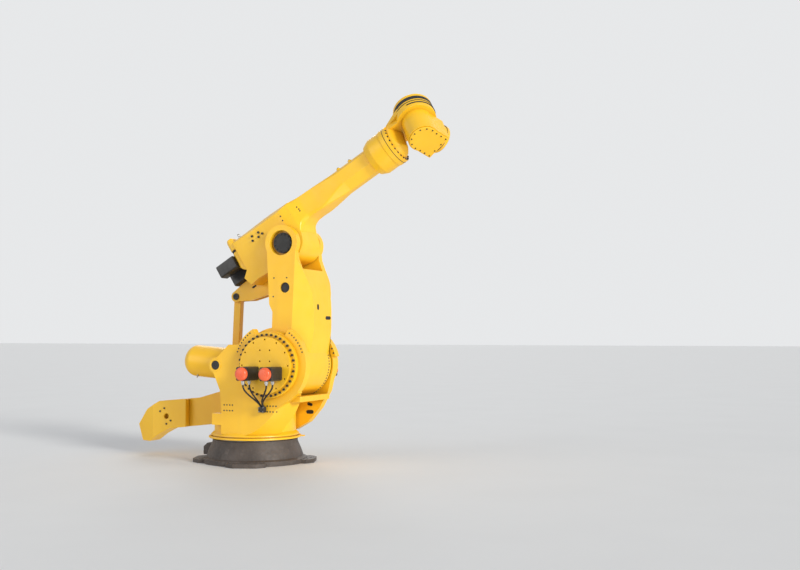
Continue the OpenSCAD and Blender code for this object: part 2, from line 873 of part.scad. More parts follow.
// Clevis of the forearm that holds the upper link pin
module link_lug() {
    plate_w = 34;
    lug_front = 325 - rear_d;
    y_in = rod_w / 2 + side_gap;
    color(yellow)
        fore_frame()
            difference() {
                for (y = [rod_y - y_in - plate_w, rod_y + y_in])
                    side_plate(y, y + plate_w)
                        difference() {
                            union() {
                                polygon([[-link_d, 1 - link_u - link_eye_r], [168 - link_d, -link_u - 170],
                                         [85 - rear_d, -330], [lug_front, -300], [lug_front, -100],
                                         [45 - rear_d, -30], [318 - link_d, 10], [218 - link_d, 20],
                                         [-link_d, link_eye_r - link_u - 1]]);
                                translate([-link_d, -link_u])
                                    circle(r = link_eye_r);
                            }
                            for (shift = [[0, 0], [-2 * seat_gap, 0], [0, -2 * seat_gap]])
                                translate(shift)
                                    root_outline();
                        }
                y_cyl(-link_d, -link_u, link_pin_d / 2 + seat_gap, -500, 500);
            }
}

module upper_link_pin() {
    color(dark)
        fore_frame()
            y_cyl(-link_d, -link_u, link_pin_d / 2, rod_y - rod_w / 2 - side_gap - 30,
                  rod_y + rod_w / 2 + side_gap + 30);
}

module link_rod() {
    color(yellow)
        difference() {
            arm_frame()
                side_plate(rod_y - rod_w / 2, rod_y + rod_w / 2)
                    union() {
                        translate([link_along(), link_across()])
                            circle(r = low_eye_r);
                        translate([link_along() + arm_l, link_across()])
                            circle(r = rod_eye_r);
                        translate([link_along(), link_across() - rod_depth / 2])
                            square([arm_l, rod_depth]);
                    }
            y_cyl(low_pin_x, low_pin_z, link_pin_d / 2 + seat_gap, 0, 400);
            y_cyl(low_pin_x + elbow_x - shoulder_x, low_pin_z + elbow_z - shoulder_z,
                  link_pin_d / 2 + seat_gap, 0, 400);
        }
}

// Place of the lower link pin along and across the lower arm
function link_along() = link_x * sin(arm_lean) + link_z * cos(arm_lean);
function link_across() = link_x * cos(arm_lean) - link_z * sin(arm_lean);

module lower_link_pin() {
    color(dark)
        y_cyl(low_pin_x, low_pin_z, link_pin_d / 2, rod_y - rod_w / 2, low_pin_end);
}

// Lever on the shoulder axis: a hub plate beside the arm, and a thick tail behind it
module lever() {
    color(yellow)
        difference() {
            union() {
                side_plate(lever_y0, lever_y1) {
                    lever_outline();
                    translate([shoulder_x, shoulder_z])
                        circle(r = lever_hub_r);
                }
                side_plate(tail_y0, tail_y1)
                    intersection() {
                        lever_outline();
                        translate([-tail_x, 0])
                            square([tail_x, shoulder_z + 190]);
                    }
            }
            y_cyl(low_pin_x, low_pin_z, link_pin_d / 2 + seat_gap, 0, low_pin_end + seat_gap);
        }
}

module lever_outline() {
    polygon([[180, shoulder_z + 190], [-330, 985], [-560, 930], [-720, 906], [-1030, tail_top + 18],
             [-tail_x, tail_top], [-tail_x, tail_low], [-750, tail_low + 52], [-520, 480], [-330, 530],
             [300, 960]]);
}

module counterweight() {
    color(yellow)
        difference() {
            intersection() {
                side_plate(weight_y0, tail_y1)
                    polygon([for (p = [[0, tail_top], [450, tail_top - 40], [680, tail_top - 162],
                                       [855, tail_low + 12], [765, tail_low - 218], [615, tail_low - 223],
                                       [465, tail_low - 118], [280, tail_low - 28], [0, tail_low]])
                             [-tail_x - p[0], p[1]]]);
                linear_extrude(tail_top + tail_low)
                    polygon([for (p = [[0, weight_y0], [550, weight_y0], [865, weight_y0 + 90],
                                       [865, tail_y1], [0, tail_y1]])
                             [-tail_x - p[0], p[1]]]);
            }
            y_cyl(-tail_x - 327, tail_low + 141, sling_r, weight_y0 - cut, weight_y0 + 70);
        }
}

// Rolling part of the wrist, with the bend drive on one side
module wrist_body() {
    root_t = 45;
    web_z = 170;
    web_y1 = 198;
    color(yellow)
        wrist_frame()
            union() {
                x_cyl(wrist_r, seat_gap, root_t);
                linear_extrude(140, center = true)
                    polygon([[root_t - cut, -150], [90, -60], [130, drum_y0 + cut],
                             [root_t - cut, web_y1]]);
                linear_extrude(2 * web_z, center = true)
                    polygon([[root_t - cut, drum_y0], [wrist_l, drum_y0], [wrist_l, web_y1 + cut],
                             [root_t - cut, web_y1 + cut]]);
                intersection() {
                    linear_extrude(2 * wrist_r, center = true)
                        polygon([[root_t - cut, web_y1], [wrist_l, web_y1], [wrist_l, drum_y1 - 90],
                                 [250, drum_y1 - 90], [root_t - cut, web_y1 + 40]]);
                    side_plate(0, drum_y1)
                        polygon([[root_t - cut, -150], [wrist_l - 60, -wrist_r + 6], [wrist_l, -wrist_r],
                                 [wrist_l, wrist_r], [wrist_l - 60, wrist_r - 6], [root_t - cut, 150]]);
                }
                y_cyl(wrist_l, 0, wrist_r, drum_y0, drum_y1 - 82);
                y_cyl(wrist_l, 0, wrist_r - 14, drum_y0, drum_y1 - 10);
                y_cyl(wrist_l, 0, wrist_r, drum_y1 - 40, drum_y1);
            }
}

module wrist_rings() {
    color(dark)
        wrist_frame()
            difference() {
                y_cyl(wrist_l, 0, wrist_r - 4, drum_y1 - 82, drum_y1 - 40);
                y_cyl(wrist_l, 0, wrist_r - 14, drum_y1 - 90, drum_y1 - 30);
            }
}

module tool_head() {
    color(yellow)
        head_frame()
            union() {
                side_plate(head_y0, drum_y0 - seat_gap) {
                    circle(r = head_half);
                    translate([0, -head_half + 10])
                        square([tool_l - 90, 2 * head_half - 20]);
                }
                x_cyl(tool_r - 10, tool_l - 95, tool_l - 40 - seat_gap);
            }
}

module head_cover() {
    color(yellow)
        head_frame()
            side_plate(head_y0 - 20, head_y0) {
                circle(r = head_half - 12);
                translate([0, -head_half + 22])
                    square([tool_l - 110, 2 * head_half - 44]);
            }
}

module tool_flange() {
    color(steel)
        head_frame()
            difference() {
                x_cyl(tool_r, tool_l - 40, tool_l);
                x_cyl(tool_bore_d / 2, tool_l - 20, tool_l + cut);
                for (k = [0:tool_holes - 1])
                    rotate([360 / tool_holes * k, 0, 0])
                        translate([0, tool_pcd / 2, 0])
                            x_cyl(tool_hole_d / 2, tool_l - 30, tool_l + cut);
            }
}

base_casting();
slew_bearing();
base_connector();
turret_body();
near_drive_plate();
far_drive_plate();
near_motors();
near_motor_caps();
far_motors();
far_motor_caps();
motor_plugs();
motor_leads();
connector_box();
balancer_cylinder();
balancer_trunnion();
lower_arm();
arm_plug();
elbow_cap();
elbow_shaft();
forearm();
wrist_housing();
rear_housing();
forearm_motors();
link_lug();
upper_link_pin();
link_rod();
lower_link_pin();
lever();
counterweight();
wrist_body();
wrist_rings();
tool_head();
head_cover();
tool_flange();
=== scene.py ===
"""Looks of a heavy six-axis industrial robot arm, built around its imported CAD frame. Metres."""

import json
import math

import bmesh
import bpy
from mathutils import Matrix, Vector
from mathutils.bvhtree import BVHTree


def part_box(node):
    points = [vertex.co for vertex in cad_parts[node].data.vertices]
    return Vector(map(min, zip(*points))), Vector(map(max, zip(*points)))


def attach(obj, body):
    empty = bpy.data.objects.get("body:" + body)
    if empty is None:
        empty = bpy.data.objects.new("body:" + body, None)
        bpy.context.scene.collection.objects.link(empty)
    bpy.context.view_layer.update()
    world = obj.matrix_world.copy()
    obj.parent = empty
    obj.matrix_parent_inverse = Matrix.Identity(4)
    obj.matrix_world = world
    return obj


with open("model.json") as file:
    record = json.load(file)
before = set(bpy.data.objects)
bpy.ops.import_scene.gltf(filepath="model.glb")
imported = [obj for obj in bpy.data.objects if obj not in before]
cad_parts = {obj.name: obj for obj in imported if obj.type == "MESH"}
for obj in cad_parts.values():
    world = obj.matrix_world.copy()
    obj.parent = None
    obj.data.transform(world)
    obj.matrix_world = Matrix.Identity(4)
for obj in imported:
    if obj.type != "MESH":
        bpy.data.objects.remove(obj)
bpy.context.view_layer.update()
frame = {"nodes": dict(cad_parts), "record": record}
nodes = frame["nodes"]
joints = {joint["name"]: joint for joint in frame["record"]["behaviour"]["joints"]}

# The photograph's camera: place, heading (turned left from +Y), upward pitch and frame
CAMERA_PLACE = Vector((7.21, -12.49, 1.707))
CAMERA_HEADING = 22.2
CAMERA_PITCH = 2.7
CAMERA_LENS = 47.25
SENSOR_WIDTH = 36.0
PHOTO_SIZE = (800, 570)

# World light, backdrop and floor, and the lamps as direction, strength, softness in degrees and
# colour
AMBIENT_COLOUR = (0.90, 0.94, 1.0, 1)
AMBIENT_STRENGTH = 0.44
BACKDROP_COLOUR = (0.80, 0.81, 0.82, 1)
FLOOR_SIZE = 150
FLOOR_LEVEL = -0.001
LAMPS = {
    "key": ((-0.86, 0.36, -0.35), 2.40, 14, (1.0, 0.99, 0.94)),
    "fill": ((0.60, 0.72, -0.25), 0.70, 40, (1.0, 0.96, 0.92)),
    "low": ((-0.62, 0.35, 0.70), 1.1, 40, (1.0, 0.98, 0.92)),
    "rim": ((0.35, -0.80, -0.55), 0.60, 30, (1.0, 1.0, 1.0)),
}

# Clean-up of the CAD nodes by modifiers, and edge rounding of their castings and small parts.
# Angles are in degrees
WELD_DISTANCE = 0.0003
FLAT_ANGLE = 0.6
CASTING_BEVEL = 0.008
SMALL_BEVEL = 0.003
BEVEL_SEGMENTS = 2
BEVEL_ANGLE = 13.0
CREASE_ANGLE = 12.0
LEAD_ANGLE = 60.0

# Where smooth shading of an added piece breaks, samples of worn edges and of painted corner shade
SHARP_ANGLE = 32.0
EDGE_SAMPLES = 4
CREVICE_SAMPLES = 6

# Screws, as head radius and height
PLATE_BOLT = (0.0150, 0.018)
COVER_BOLT = (0.012, 0.012)
SMALL_BOLT = (0.009, 0.008)
BOX_SCREW = (0.005, 0.003)
FLUSH_SCREW = (0.012, 0.003)
SET_SCREW = (0.010, 0.0025)

# Foot of a small piece, just under the surface that carries it
SEAT = -0.001
DEEP_SEAT = -0.002

# Turned pieces, as (radius, height) from the foot to the middle
GLAND = ((0.0165, SEAT), (0.0165, 0.010), (0.0135, 0.013), (0.0118, 0.020))
TRUNNION_CAP = ((0.058, SEAT), (0.058, 0.010), (0.054, 0.014), (0.030, 0.014), (0.027, 0.006),
                (0.012, 0.006), (0.010, 0.011))
PIN_CAP = ((0.046, SEAT), (0.046, 0.012), (0.042, 0.016), (0.018, 0.016), (0.015, 0.006))
TUBE_BOSS = ((0.030, DEEP_SEAT), (0.028, 0.020), (0.024, 0.024))
VALVE = ((0.016, -0.004), (0.016, 0.012), (0.010, 0.014), (0.010, 0.034), (0.007, 0.038))
SOCKET_SHELL = ((0.036, SEAT), (0.036, 0.006), (0.029, 0.006), (0.029, 0.020), (0.027, 0.022),
                (0.023, 0.022), (0.022, 0.006))
SOCKET_INSERT = ((0.0215, 0.005), (0.0215, 0.012), (0.019, 0.014))

# Flat rings, as inner radius, outer radius and height
TRUNNION_COLLAR = (0.063, 0.082, 0.007)
DRUM_BAND = (0.250, 0.2635, 0.061)
FLANGE_COLLAR = (0.186, 0.1925, 0.034)

# Blend of the forearm's root into its tube: distance along the forearm, then the section's left
# half from the top to the underside as (across, up) from the elbow
NECK = (
    (0.190, ((0.195, 0.474), (0.256, 0.433), (0.256, 0.060), (0.250, 0.030))),
    (0.262, ((0.206, 0.475), (0.238, 0.453), (0.238, 0.050), (0.225, 0.027))),
    (0.300, ((0.198, 0.472), (0.223, 0.447), (0.223, 0.110), (0.195, 0.072))),
    (0.340, ((0.188, 0.468), (0.209, 0.441), (0.209, 0.150), (0.165, 0.106))),
    (0.430, ((0.172, 0.460), (0.182, 0.452), (0.182, 0.182), (0.154, 0.138))),
    (0.530, ((0.164, 0.4585), (0.173, 0.451), (0.173, 0.170), (0.154, 0.141))),
    (0.640, ((0.155, 0.458), (0.1635, 0.450), (0.1635, 0.156), (0.149, 0.1365))),
    (0.740, ((0.147, 0.4575), (0.1625, 0.442), (0.1625, 0.166), (0.136, 0.137))),
    (0.840, ((0.137, 0.457), (0.162, 0.432), (0.162, 0.192), (0.111, 0.1375))),
    (0.940, ((0.1255, 0.4565), (0.1615, 0.4205), (0.1615, 0.221), (0.081, 0.138))),
    (1.040, ((0.1175, 0.456), (0.161, 0.412), (0.161, 0.243), (0.0575, 0.139))),
    (1.130, ((0.1125, 0.453), (0.158, 0.408), (0.158, 0.254), (0.046, 0.1425))),
)
NECK_ROUNDING = 0.016
NECK_STEPS = 6

# Strip in the slot of the rear housing: plan as (along, across) and heights, from the elbow
SLOT_PLAN = ((-0.797, -0.146), (-0.797, 0.146), (-0.753, 0.196), (-0.713, 0.196),
             (-0.713, -0.196), (-0.753, -0.196))
SLOT_LEVELS = (0.348, 0.366, 0.384)
SLOT_ROUNDING = 0.012

FRONT = Vector((1, 0, 0))
LEFT = Vector((0, 1, 0))
NEAR = Vector((0, -1, 0))
UP = Vector((0, 0, 1))

# Starts of straight lines that look for a surface: clear of the whole part, of the forearm and of
# the head
CLEAR_OF_PART = 3
CLEAR_OF_FOREARM = 1.5
CLEAR_OF_HEAD = 0.6


def joint_point(name):
    return Vector(joints[name]["pos_m"])


def joint_axis(name):
    return Vector(joints[name]["axis"]).normalized()


def frame_matrix(origin, along, across):
    """A frame with X along one direction and Y across it."""
    axes = Matrix((along, across, along.cross(across))).transposed()
    return Matrix.Translation(origin) @ axes.to_4x4()


SHOULDER = joint_point("shoulder")
ELBOW = joint_point("elbow_swing")
FORE = frame_matrix(ELBOW, joint_axis("wrist_roll"), LEFT)
WRIST = frame_matrix(joint_point("wrist_roll"), joint_axis("wrist_roll"), joint_axis("wrist_bend"))
HEAD = frame_matrix(joint_point("wrist_bend"), joint_axis("tool_roll"), joint_axis("wrist_bend"))


# Camera and light

def make_camera():
    data = bpy.data.cameras.new("camera")
    data.lens = CAMERA_LENS
    data.sensor_width = SENSOR_WIDTH
    camera = bpy.data.objects.new("camera", data)
    camera.location = CAMERA_PLACE
    camera.rotation_euler = (math.radians(90 + CAMERA_PITCH), 0, math.radians(CAMERA_HEADING))
    bpy.context.scene.collection.objects.link(camera)
    bpy.context.scene.camera = camera


def sun(name, towards, strength, softness, colour):
    data = bpy.data.lights.new(name, "SUN")
    data.energy = strength
    data.angle = math.radians(softness)
    data.color = colour
    lamp = bpy.data.objects.new(name, data)
    lamp.rotation_euler = Vector(towards).to_track_quat("-Z", "Y").to_euler()
    bpy.context.scene.collection.objects.link(lamp)


def camera_mask(graph_node, link):
    """1 where a ray comes straight from the camera, a mirror or glass, else 0."""
    path = graph_node("ShaderNodeLightPath")
    first = graph_node("ShaderNodeMath")
    first.operation = "MAXIMUM"
    both = graph_node("ShaderNodeMath")
    both.operation = "MAXIMUM"
    link(path.outputs["Is Camera Ray"], first.inputs[0])
    link(path.outputs["Is Glossy Ray"], first.inputs[1])
    link(first.outputs[0], both.inputs[0])
    link(path.outputs["Is Transmission Ray"], both.inputs[1])
    return both.outputs[0]


def make_light():
    bpy.context.scene.view_settings.view_transform = "Standard"
    world = bpy.data.worlds.new("studio")
    world.use_nodes = True
    tree = world.node_tree
    ambient = tree.nodes["Background"]
    ambient.inputs["Color"].default_value = AMBIENT_COLOUR
    ambient.inputs["Strength"].default_value = AMBIENT_STRENGTH
    backdrop = tree.nodes.new("ShaderNodeBackground")
    backdrop.inputs["Color"].default_value = BACKDROP_COLOUR
    backdrop.inputs["Strength"].default_value = 1.0
    mix = tree.nodes.new("ShaderNodeMixShader")
    tree.links.new(camera_mask(tree.nodes.new, tree.links.new), mix.inputs["Fac"])
    tree.links.new(ambient.outputs[0], mix.inputs[1])
    tree.links.new(backdrop.outputs[0], mix.inputs[2])
    tree.links.new(mix.outputs[0], tree.nodes["World Output"].inputs["Surface"])
    bpy.context.scene.world = world
    for name, lamp in LAMPS.items():
        sun(name, *lamp)


# Materials

class Graph:
    """Short calls for a material's node tree."""

    def __init__(self, name):
        self.material = bpy.data.materials.new(name)
        self.material.use_nodes = True
        self.tree = self.material.node_tree
        self.shader = self.tree.nodes["Principled BSDF"]

    def node(self, kind, **inputs):
        made = self.tree.nodes.new(kind)
        for key, value in inputs.items():
            made.inputs[key].default_value = value
        return made

    def link(self, out, into):
        self.tree.links.new(out, into)

    def noise(self, scale, detail=4.0, stretch=(1, 1, 1)):
        """Noise in object space, so many features per metre, stretched along the axes."""
        place = self.node("ShaderNodeTexCoord")
        mapping = self.node("ShaderNodeMapping", Scale=stretch)
        noise = self.node("ShaderNodeTexNoise", Scale=scale, Detail=detail)
        self.link(place.outputs["Object"], mapping.inputs["Vector"])
        self.link(mapping.outputs["Vector"], noise.inputs["Vector"])
        return noise.outputs["Fac"]

    def ramp(self, value, *stops):
        """A colour ramp over value, from stops of (position, colour)."""
        ramp = self.node("ShaderNodeValToRGB")
        elements = ramp.color_ramp.elements
        while len(elements) < len(stops):
            elements.new(0.5)
        for element, (position, colour) in zip(elements, stops):
            element.position = position
            element.color = (*colour, 1)
        self.link(value, ramp.inputs["Fac"])
        return ramp.outputs["Color"]

    def levels(self, value, *stops):
        """A grey ramp over value, from stops of (position, level)."""
        return self.ramp(value, *((position, grey(level)) for position, level in stops))

    def mix(self, factor, a, b):
        """Colour a turned to b by factor. Each is a socket or a plain value."""
        mix = self.node("ShaderNodeMixRGB")
        for value, socket in ((factor, "Fac"), (a, "Color1"), (b, "Color2")):
            if hasattr(value, "links"):
                self.link(value, mix.inputs[socket])
            elif isinstance(value, tuple):
                mix.inputs[socket].default_value = (*value, 1)
            else:
                mix.inputs[socket].default_value = value
        return mix.outputs["Color"]

    def crevices(self, distance):
        """Near 1 on open surfaces, less in corners and gaps."""
        shade = self.node("ShaderNodeAmbientOcclusion", Distance=distance)
        shade.samples = CREVICE_SAMPLES
        return shade.outputs["AO"]

    def edges(self, radius):
        """Near 0 on flat surfaces, more along convex and concave edges."""
        bevel = self.node("ShaderNodeBevel", Radius=radius)
        bevel.samples = EDGE_SAMPLES
        plain = self.node("ShaderNodeNewGeometry")
        dot = self.node("ShaderNodeVectorMath")
        dot.operation = "DOT_PRODUCT"
        self.link(bevel.outputs["Normal"], dot.inputs[0])
        self.link(plain.outputs["Normal"], dot.inputs[1])
        flip = self.node("ShaderNodeMath")
        flip.operation = "SUBTRACT"
        flip.inputs[0].default_value = 1.0
        self.link(dot.outputs["Value"], flip.inputs[1])
        return flip.outputs[0]

    def paint(self, colour):
        self.link(colour, self.shader.inputs["Base Color"])

    def rough(self, level):
        self.link(level, self.shader.inputs["Roughness"])

    def bump(self, height, strength, distance):
        bump = self.node("ShaderNodeBump", Strength=strength, Distance=distance)
        self.link(height, bump.inputs["Height"])
        self.link(bump.outputs["Normal"], self.shader.inputs["Normal"])


def grey(level):
    return (level, level, level)


def yellow_paint():
    """Satin machine paint: soft patches, painted shade in corners, worn edges, orange peel."""
    deep, light = (0.89, 0.485, 0.012), (0.95, 0.560, 0.018)
    dust, painted_shade, rubbed = (0.70, 0.38, 0.04), (0.34, 0.17, 0.012), (0.95, 0.72, 0.22)
    g = Graph("yellow_paint")
    patches = g.ramp(g.noise(1.6, 6), (0.30, deep), (0.70, light))
    streaks = g.levels(g.noise(7.0, 8, (1, 1, 0.18)), (0.55, 0.0), (0.85, 0.22))
    dusty = g.mix(streaks, patches, dust)
    # Painted shade: ambient occlusion darkens corners and gaps towards a dark brown
    corners = g.levels(g.crevices(0.10), (0.25, 0.55), (0.80, 0.0))
    with_painted_shade = g.mix(corners, dusty, painted_shade)
    chips = g.levels(g.noise(26.0, 6), (0.50, 0.0), (0.62, 1.0))
    edges = g.levels(g.edges(0.006), (0.02, 0.0), (0.12, 0.55))
    worn = g.mix(chips, grey(0.0), edges)
    g.paint(g.mix(worn, with_painted_shade, rubbed))
    g.rough(g.levels(g.noise(9.0, 5), (0.3, 0.30), (0.75, 0.46)))
    g.bump(g.noise(240.0, 2), 0.08, 0.002)
    return g.material


def cast_iron():
    """Dark primed casting: sandy grain, dust in patches, rubbed edges."""
    deep, light = (0.042, 0.032, 0.027), (0.098, 0.076, 0.064)
    dust, rubbed = (0.21, 0.17, 0.145), (0.24, 0.22, 0.21)
    g = Graph("cast_iron")
    primer = g.ramp(g.noise(3.0, 7), (0.32, deep), (0.72, light))
    patches = g.levels(g.noise(14.0, 8), (0.55, 0.0), (0.85, 0.35))
    dusty = g.mix(patches, primer, dust)
    edges = g.levels(g.edges(0.006), (0.02, 0.0), (0.15, 0.5))
    g.paint(g.mix(edges, dusty, rubbed))
    g.rough(g.levels(g.noise(20.0, 4), (0.3, 0.48), (0.7, 0.70)))
    g.bump(g.noise(150.0, 5), 0.35, 0.003)
    return g.material


def dark_finish(name, low, high, rough, grain):
    """Black paint, plastic or rubber, with a fine grain, a little dust and paler edges."""
    dust, pale = (0.10, 0.095, 0.09), grey(0.13)
    g = Graph(name)
    base = g.levels(g.noise(6.0, 6), (0.3, low), (0.75, high))
    patches = g.levels(g.noise(24.0, 8), (0.58, 0.0), (0.88, 0.25))
    dusty = g.mix(patches, base, dust)
    edges = g.levels(g.edges(0.003), (0.02, 0.0), (0.2, 0.35))
    g.paint(g.mix(edges, dusty, pale))
    g.rough(g.levels(g.noise(30.0, 4), (0.3, rough), (0.7, rough + 0.16)))
    g.bump(g.noise(grain, 3), 0.15, 0.001)
    return g.material


def red_plastic():
    """Glossy moulded caps, faded in patches."""
    deep, light, scuffed = (0.78, 0.095, 0.030), (0.90, 0.155, 0.055), (0.85, 0.25, 0.14)
    g = Graph("red_plastic")
    base = g.ramp(g.noise(12.0, 5), (0.3, deep), (0.7, light))
    scuffs = g.levels(g.noise(60.0, 6), (0.60, 0.0), (0.80, 0.3))
    g.paint(g.mix(scuffs, base, scuffed))
    g.rough(g.levels(g.noise(40.0, 3), (0.3, 0.25), (0.7, 0.40)))
    g.bump(g.noise(300.0, 2), 0.06, 0.001)
    return g.material


def bare_steel():
    """Machined steel with turning marks and painted shade in its corners."""
    dull, bright, steel_shade = (0.44, 0.43, 0.42), (0.64, 0.64, 0.64), (0.10, 0.085, 0.07)
    g = Graph("bare_steel")
    g.shader.inputs["Metallic"].default_value = 1.0
    base = g.ramp(g.noise(9.0, 6), (0.3, dull), (0.7, bright))
    # Painted shade: ambient occlusion darkens the steel in corners and gaps
    steel_crevice_shade = g.levels(g.crevices(0.03), (0.3, 0.7), (0.8, 0.0))
    g.paint(g.mix(steel_crevice_shade, base, steel_shade))
    g.rough(g.levels(g.noise(60.0, 4), (0.3, 0.28), (0.7, 0.46)))
    g.bump(g.noise(220.0, 2, (0.05, 1, 1)), 0.08, 0.001)
    return g.material


def make_materials():
    return {
        "yellow_paint": yellow_paint(),
        "cast_iron": cast_iron(),
        "black_paint": dark_finish("black_paint", 0.010, 0.026, rough=0.34, grain=200.0),
        "black_plastic": dark_finish("black_plastic", 0.012, 0.030, rough=0.50, grain=350.0),
        "black_rubber": dark_finish("black_rubber", 0.010, 0.020, rough=0.62, grain=500.0),
        "red_plastic": red_plastic(),
        "bare_steel": bare_steel(),
    }


def dress_nodes():
    """Gives every CAD node its slot's material and rounded edges."""
    slots = {part["node"]: part["material_slot"] for part in frame["record"]["subparts"]}
    for name, thing in nodes.items():
        slot = slots[name]
        thing.data.materials.clear()
        thing.data.materials.append(materials[slot])
        for face in thing.data.polygons:
            face.use_smooth = True
        weld = thing.modifiers.new("weld", "WELD")
        weld.merge_threshold = WELD_DISTANCE
        flat = thing.modifiers.new("flat", "DECIMATE")
        flat.decimate_type = "DISSOLVE"
        flat.angle_limit = math.radians(FLAT_ANGLE)
        bevel = thing.modifiers.new("bevel", "BEVEL")
        bevel.width = CASTING_BEVEL if slot in ("yellow_paint", "cast_iron") else SMALL_BEVEL
        bevel.segments = BEVEL_SEGMENTS
        bevel.limit_method = "ANGLE"
        bevel.angle_limit = math.radians(BEVEL_ANGLE)
        bevel.use_clamp_overlap = True
        split = thing.modifiers.new("split", "EDGE_SPLIT")
        split.split_angle = math.radians(LEAD_ANGLE if slot == "black_rubber" else CREASE_ANGLE)


# Small pieces

def surface_matrix(point, normal):
    """A frame on a surface with Z out of it."""
    return Matrix.Translation(point) @ normal.to_track_quat("Z", "Y").to_matrix().to_4x4()


def bridge(bm, low, high):
    """Faces between two loops of as many corners."""
    count = len(low)
    for k in range(count):
        after = (k + 1) % count
        bm.faces.new((low[k], low[after], high[after], high[k]))


def stack(bm, matrix, loops):
    """A closed form over loops of points, from its foot to its last loop."""
    rows = [[bm.verts.new(matrix @ Vector(point)) for point in loop] for loop in loops]
    bm.faces.new(list(reversed(rows[0])))
    for low, high in zip(rows, rows[1:]):
        bridge(bm, low, high)
    bm.faces.new(rows[-1])


def ring(radius, height, hexagon=False, sides=24):
    """Points of a circle, or of a hexagon of that radius over its corners."""
    points = []
    for k in range(sides):
        angle = 2 * math.pi * k / sides
        reach = radius
        if hexagon:
            sixth = math.pi / 3
            reach *= math.cos(sixth / 2) / math.cos(angle % sixth - sixth / 2)
        points.append((reach * math.cos(angle), reach * math.sin(angle), height))
    return points


def turned(bm, matrix, profile, hexagons=0):
    """A form from (radius, height) pairs, the first few of them hexagons."""
    stack(bm, matrix, [ring(*pair, hexagon=k < hexagons) for k, pair in enumerate(profile)])


def flat_ring(bm, matrix, inner, outer, height):
    """A flat ring with chamfered edges."""
    sides = 96
    edge = min(0.3 * height, 0.002)
    section = [(outer, 0), (outer, height - edge), (outer - edge, height),
               (inner + edge, height), (inner, height - edge), (inner, 0)]
    rows = []
    for radius, level in section:
        points = ring(radius, level, sides=sides)
        rows.append([bm.verts.new(matrix @ Vector(point)) for point in points])
    for low, high in zip(rows, rows[1:] + rows[:1]):
        bridge(bm, low, high)


def socket_bolt(bm, matrix, size):
    """Cap screw with a hexagon socket."""
    radius, height = size
    edge = 0.12 * radius
    key = 0.52 * radius
    key_floor = 0.45 * height
    stack(bm, matrix, [ring(radius, SEAT), ring(radius, height - edge), ring(radius - edge, height),
                       ring(key, height, True), ring(key, key_floor, True)])


def set_screw(bm, matrix, size):
    """Threaded hole with a chamfered rim, filled by a screw that lies below the rim."""
    radius, height = size
    rim, mouth, screw = 0.86 * radius, 0.72 * radius, 0.68 * radius
    rim_foot, screw_top = 0.4 * height, 0.2 * height
    turned(bm, matrix, ((radius, SEAT), (radius, rim_foot), (rim, height), (mouth, height),
                        (screw, screw_top)))


def screws(name, spots, size, body, make=socket_bolt, slot="black_paint"):
    """One joined piece of like screws, each at a (point, normal) spot."""
    bm = bmesh.new()
    for point, normal in spots:
        make(bm, surface_matrix(point, normal), size)
    piece(name, bm, slot, body)


def piece(name, bm, slot, body):
    """A new object from a mesh in the making, with its finish and the body it rides on."""
    bmesh.ops.recalc_face_normals(bm, faces=bm.faces)
    mesh = bpy.data.meshes.new(name)
    bm.to_mesh(mesh)
    bm.free()
    mesh.materials.append(materials[slot])
    for face in mesh.polygons:
        face.use_smooth = True
    mesh.set_sharp_from_angle(angle=math.radians(SHARP_ANGLE))
    thing = bpy.data.objects.new(name, mesh)
    bpy.context.scene.collection.objects.link(thing)
    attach(thing, body)
    return thing


def tube(bm, points, radius, closed=False, sides=10):
    """A round bar along points, closed to a hoop or with flat ends."""
    count = len(points)
    rows = []
    for i, point in enumerate(points):
        before = points[i - 1] if closed or i else points[0]
        after = points[(i + 1) % count] if closed or i < count - 1 else points[-1]
        turn = (after - before).to_track_quat("Z", "Y").to_matrix()
        section = ring(radius, 0, sides=sides)
        rows.append([bm.verts.new(point + turn @ Vector(spot)) for spot in section])
    pairs = list(zip(rows, rows[1:] + rows[:1])) if closed else list(zip(rows, rows[1:]))
    for low, high in pairs:
        shift = min(range(sides), key=lambda k: (high[k].co - low[0].co).length)
        for k in range(sides):
            bm.faces.new((low[k], low[(k + 1) % sides], high[(k + 1 + shift) % sides],
                          high[(k + shift) % sides]))
    if not closed:
        bm.faces.new(list(reversed(rows[0])))
        bm.faces.new(rows[-1])


def circle_points(matrix, radius, start, stop, steps):
    """Points of an arc in a frame's Z and X plane, in degrees from Z, without its last one."""
    angles = [math.radians(start + (stop - start) * k / steps) for k in range(steps)]
    return [matrix @ Vector((radius * math.sin(a), 0, radius * math.cos(a))) for a in angles]


def between(before, low, high, after, t):
    """A smooth curve through low and high, a share t of the way."""
    return 0.5 * (2 * low + (high - before) * t
                  + (2 * before - 5 * low + 4 * high - after) * t ** 2
                  + (3 * low - before - 3 * high + after) * t ** 3)


def rounded(points, radius, steps=4):
    """A closed outline with its corners rounded."""
    outline = []
    for i, corner in enumerate(points):
        back = points[i - 1] - corner
        ahead = points[(i + 1) % len(points)] - corner
        reach = min(radius, 0.45 * back.length, 0.45 * ahead.length)
        start = corner + back.normalized() * reach
        end = corner + ahead.normalized() * reach
        for k in range(steps + 1):
            t = k / steps
            outline.append(start * (1 - t) ** 2 + corner * 2 * t * (1 - t) + end * t ** 2)
    return outline


def grommet(bm, matrix, length, width):
    """Rubber plug in a rounded slot: a raised rim round a sunk middle."""
    half = (length - width) / 2
    sides = 24
    rim_foot, rim, middle = 0.003, 0.005, 0.0005

    def outline(inset, height):
        points = []
        for k in range(sides):
            angle = 2 * math.pi * (k + 0.5) / sides
            reach = width / 2 - inset
            shift = half if math.cos(angle) > 0 else -half
            points.append((shift + reach * math.cos(angle), reach * math.sin(angle), height))
        return points

    stack(bm, matrix, [outline(0, DEEP_SEAT), outline(0, rim_foot), outline(0.003, rim),
                       outline(0.007, rim), outline(0.010, middle)])


